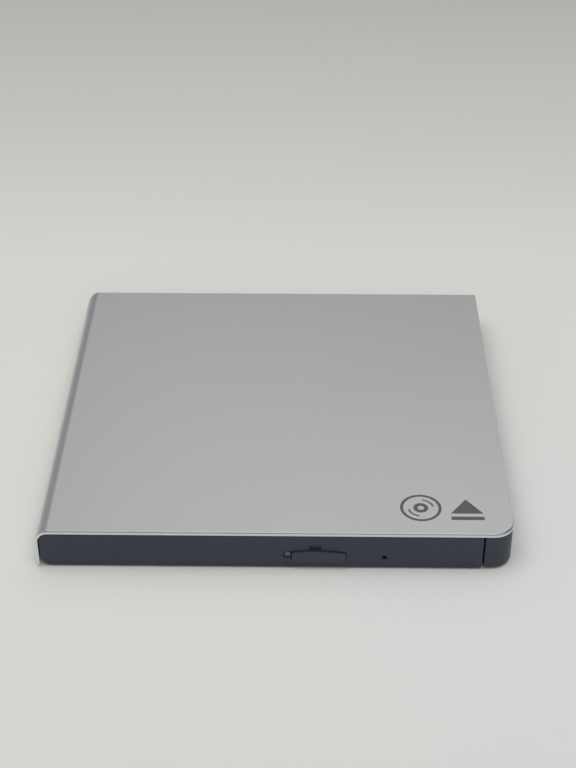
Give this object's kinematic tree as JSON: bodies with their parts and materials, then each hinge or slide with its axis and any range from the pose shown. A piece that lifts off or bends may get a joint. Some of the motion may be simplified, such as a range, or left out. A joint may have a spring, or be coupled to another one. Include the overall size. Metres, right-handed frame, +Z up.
{
  "type": "external slim optical disc drive",
  "caption": "Slim square-cornered USB disc drive: silver folded cover over a dark case, with a full-width front tray that slides out to show the spindle and laser sled.",
  "frame": {"origin": "centre of the closed drive's footprint, on the surface that the rubber feet stand on", "axes": "+Z up, -Y out of the front where the tray opens, +X to the right of someone facing the front"},
  "size_m": [0.144, 0.1376, 0.014],
  "materials": {
    "cover_silver": "satin coat",
    "case_dark": "fine matte",
    "button_dark": "fine matte",
    "rubber_black": "matte",
    "label_film": "satin",
    "screw_black": "satin",
    "screw_steel": "satin",
    "sheet_steel": "satin",
    "turned_steel": "polished",
    "acetal_white": "smooth",
    "plastic_black": "fine matte",
    "plastic_grey": "smooth",
    "board_green": "solder resist",
    "under_plate": "satin",
    "pan_alloy": "satin",
    "zinc_cast": "die cast",
    "iron_core": "laminated",
    "copper_wire": "enamelled",
    "bronze": "sintered",
    "gold_contact": "plated",
    "spring_steel": "drawn",
    "lens_glass": "clear",
    "light_pipe": "frosted",
    "flex_white": "smooth"
  },
  "bodies": {
    "casing": {"top_cover": "cover_silver", "bottom_case": "case_dark", "rubber_feet": "rubber_black", "rating_label": "label_film", "case_screws": "screw_black", "chassis_screws": "screw_steel", "board_screws": "screw_steel", "usb_shell": "sheet_steel", "usb_insert": "plastic_black", "usb_contacts": "gold_contact", "chassis_pan": "pan_alloy", "chassis_lid": "sheet_steel", "guide_left": "acetal_white", "guide_right": "acetal_white", "latch_pin": "turned_steel", "main_board": "board_green", "main_board_parts": "plastic_black", "board_connector": "plastic_black"},
    "rail_l": {"rail_left": "sheet_steel"},
    "rail_r": {"rail_right": "sheet_steel"},
    "drawer": {"tray": "plastic_black", "tray_bezel": "case_dark", "led_lens": "light_pipe", "front_board": "board_green", "eject_switch": "plastic_black", "front_board_parts": "plastic_black", "tray_bottom_plate": "under_plate", "tray_screws": "screw_black", "traverse_frame": "sheet_steel", "dampers": "rubber_black", "damper_screws": "screw_black", "guide_rods": "turned_steel", "motor_base": "sheet_steel", "bearing_sleeve": "bronze", "stator_core": "iron_core", "stator_coils": "copper_wire", "sled_motor": "sheet_steel", "screw_bracket": "sheet_steel", "latch_solenoid": "plastic_black", "latch_spring": "spring_steel", "tray_connector": "plastic_black", "flex_cable": "flex_white"},
    "button": {"eject_button": "button_dark"},
    "plunger": {"switch_plunger": "plastic_grey"},
    "rotor": {"rotor_cup": "turned_steel", "rotor_magnet": "iron_core", "turntable_pad": "rubber_black", "spindle_shaft": "turned_steel", "spindle_hub": "plastic_black"},
    "claw_a": {"clamp_claw_1": "plastic_grey"},
    "claw_b": {"clamp_claw_2": "plastic_grey"},
    "claw_c": {"clamp_claw_3": "plastic_grey"},
    "pickup": {"pickup_carriage": "zinc_cast", "pickup_cover": "sheet_steel", "rack_nut": "acetal_white"},
    "focus": {"lens_holder": "plastic_black", "objective_lens": "lens_glass"},
    "screw": {"lead_screw": "turned_steel"},
    "latch": {"latch_lever": "plastic_black"},
    "armature": {"solenoid_core": "turned_steel"}
  },
  "joints": [
    {"name": "tray_slide", "type": "slide", "parent": "casing", "child": "drawer", "axis": [0, -1, 0], "range_m": [0, 0.124], "deforming": ["flex_cable"]},
    {"name": "rail_left_slide", "type": "slide", "parent": "casing", "child": "rail_l", "axis": [0, -1, 0], "range_m": [0, 0.0625]},
    {"name": "rail_right_slide", "type": "slide", "parent": "casing", "child": "rail_r", "axis": [0, -1, 0], "range_m": [0, 0.0625]},
    {"name": "eject_press", "type": "slide", "parent": "drawer", "child": "button", "axis": [0, 1, 0], "range_m": [0, 0.0004], "stiffness_N_per_m": 800},
    {"name": "switch_press", "type": "slide", "parent": "drawer", "child": "plunger", "axis": [0, 1, 0], "range_m": [0, 0.00041]},
    {"name": "spindle_spin", "type": "hinge", "parent": "drawer", "child": "rotor", "pos_m": [-0.0048, -0.0019, 0.007], "axis": [0, 0, 1], "continuous": true},
    {"name": "claw_press_1", "type": "slide", "parent": "rotor", "child": "claw_a", "axis": [-0.7071, -0.7071, 0], "range_m": [0, 0.0006], "stiffness_N_per_m": 300},
    {"name": "claw_press_2", "type": "slide", "parent": "rotor", "child": "claw_b", "axis": [0.9659, -0.2588, 0], "range_m": [0, 0.0006], "stiffness_N_per_m": 300},
    {"name": "claw_press_3", "type": "slide", "parent": "rotor", "child": "claw_c", "axis": [-0.2588, 0.9659, 0], "range_m": [0, 0.0006], "stiffness_N_per_m": 300},
    {"name": "pickup_slide", "type": "slide", "parent": "drawer", "child": "pickup", "axis": [-0.7071, -0.7071, 0], "range_m": [0, 0.033]},
    {"name": "lead_screw_turn", "type": "hinge", "parent": "drawer", "child": "screw", "pos_m": [-0.01258, -0.03655, 0.00665], "axis": [-0.7071, -0.7071, 0], "range_deg": [-5, 4000]},
    {"name": "lens_focus", "type": "slide", "parent": "pickup", "child": "focus", "axis": [0, 0, 1], "range_m": [-0.0004, 0.0004], "stiffness_N_per_m": 60},
    {"name": "latch_pivot", "type": "hinge", "parent": "drawer", "child": "latch", "pos_m": [0.039, -0.0573, 0.0053], "axis": [0, 0, -1], "range_deg": [0, 12.2]},
    {"name": "solenoid_pull", "type": "slide", "parent": "drawer", "child": "armature", "axis": [1, 0, 0], "range_m": [0, 0.00121], "stiffness_N_per_m": 400}
  ],
  "couplings": [
    {"joint": "rail_left_slide", "follows": "tray_slide", "ratio": 0.5},
    {"joint": "rail_right_slide", "follows": "tray_slide", "ratio": 0.5},
    {"joint": "switch_press", "follows": "eject_press", "ratio": 1},
    {"joint": "lead_screw_turn", "follows": "pickup_slide", "rad_per_m": 2094.4},
    {"joint": "latch_pivot", "follows": "solenoid_pull", "rad_per_m": 172.3}
  ]
}
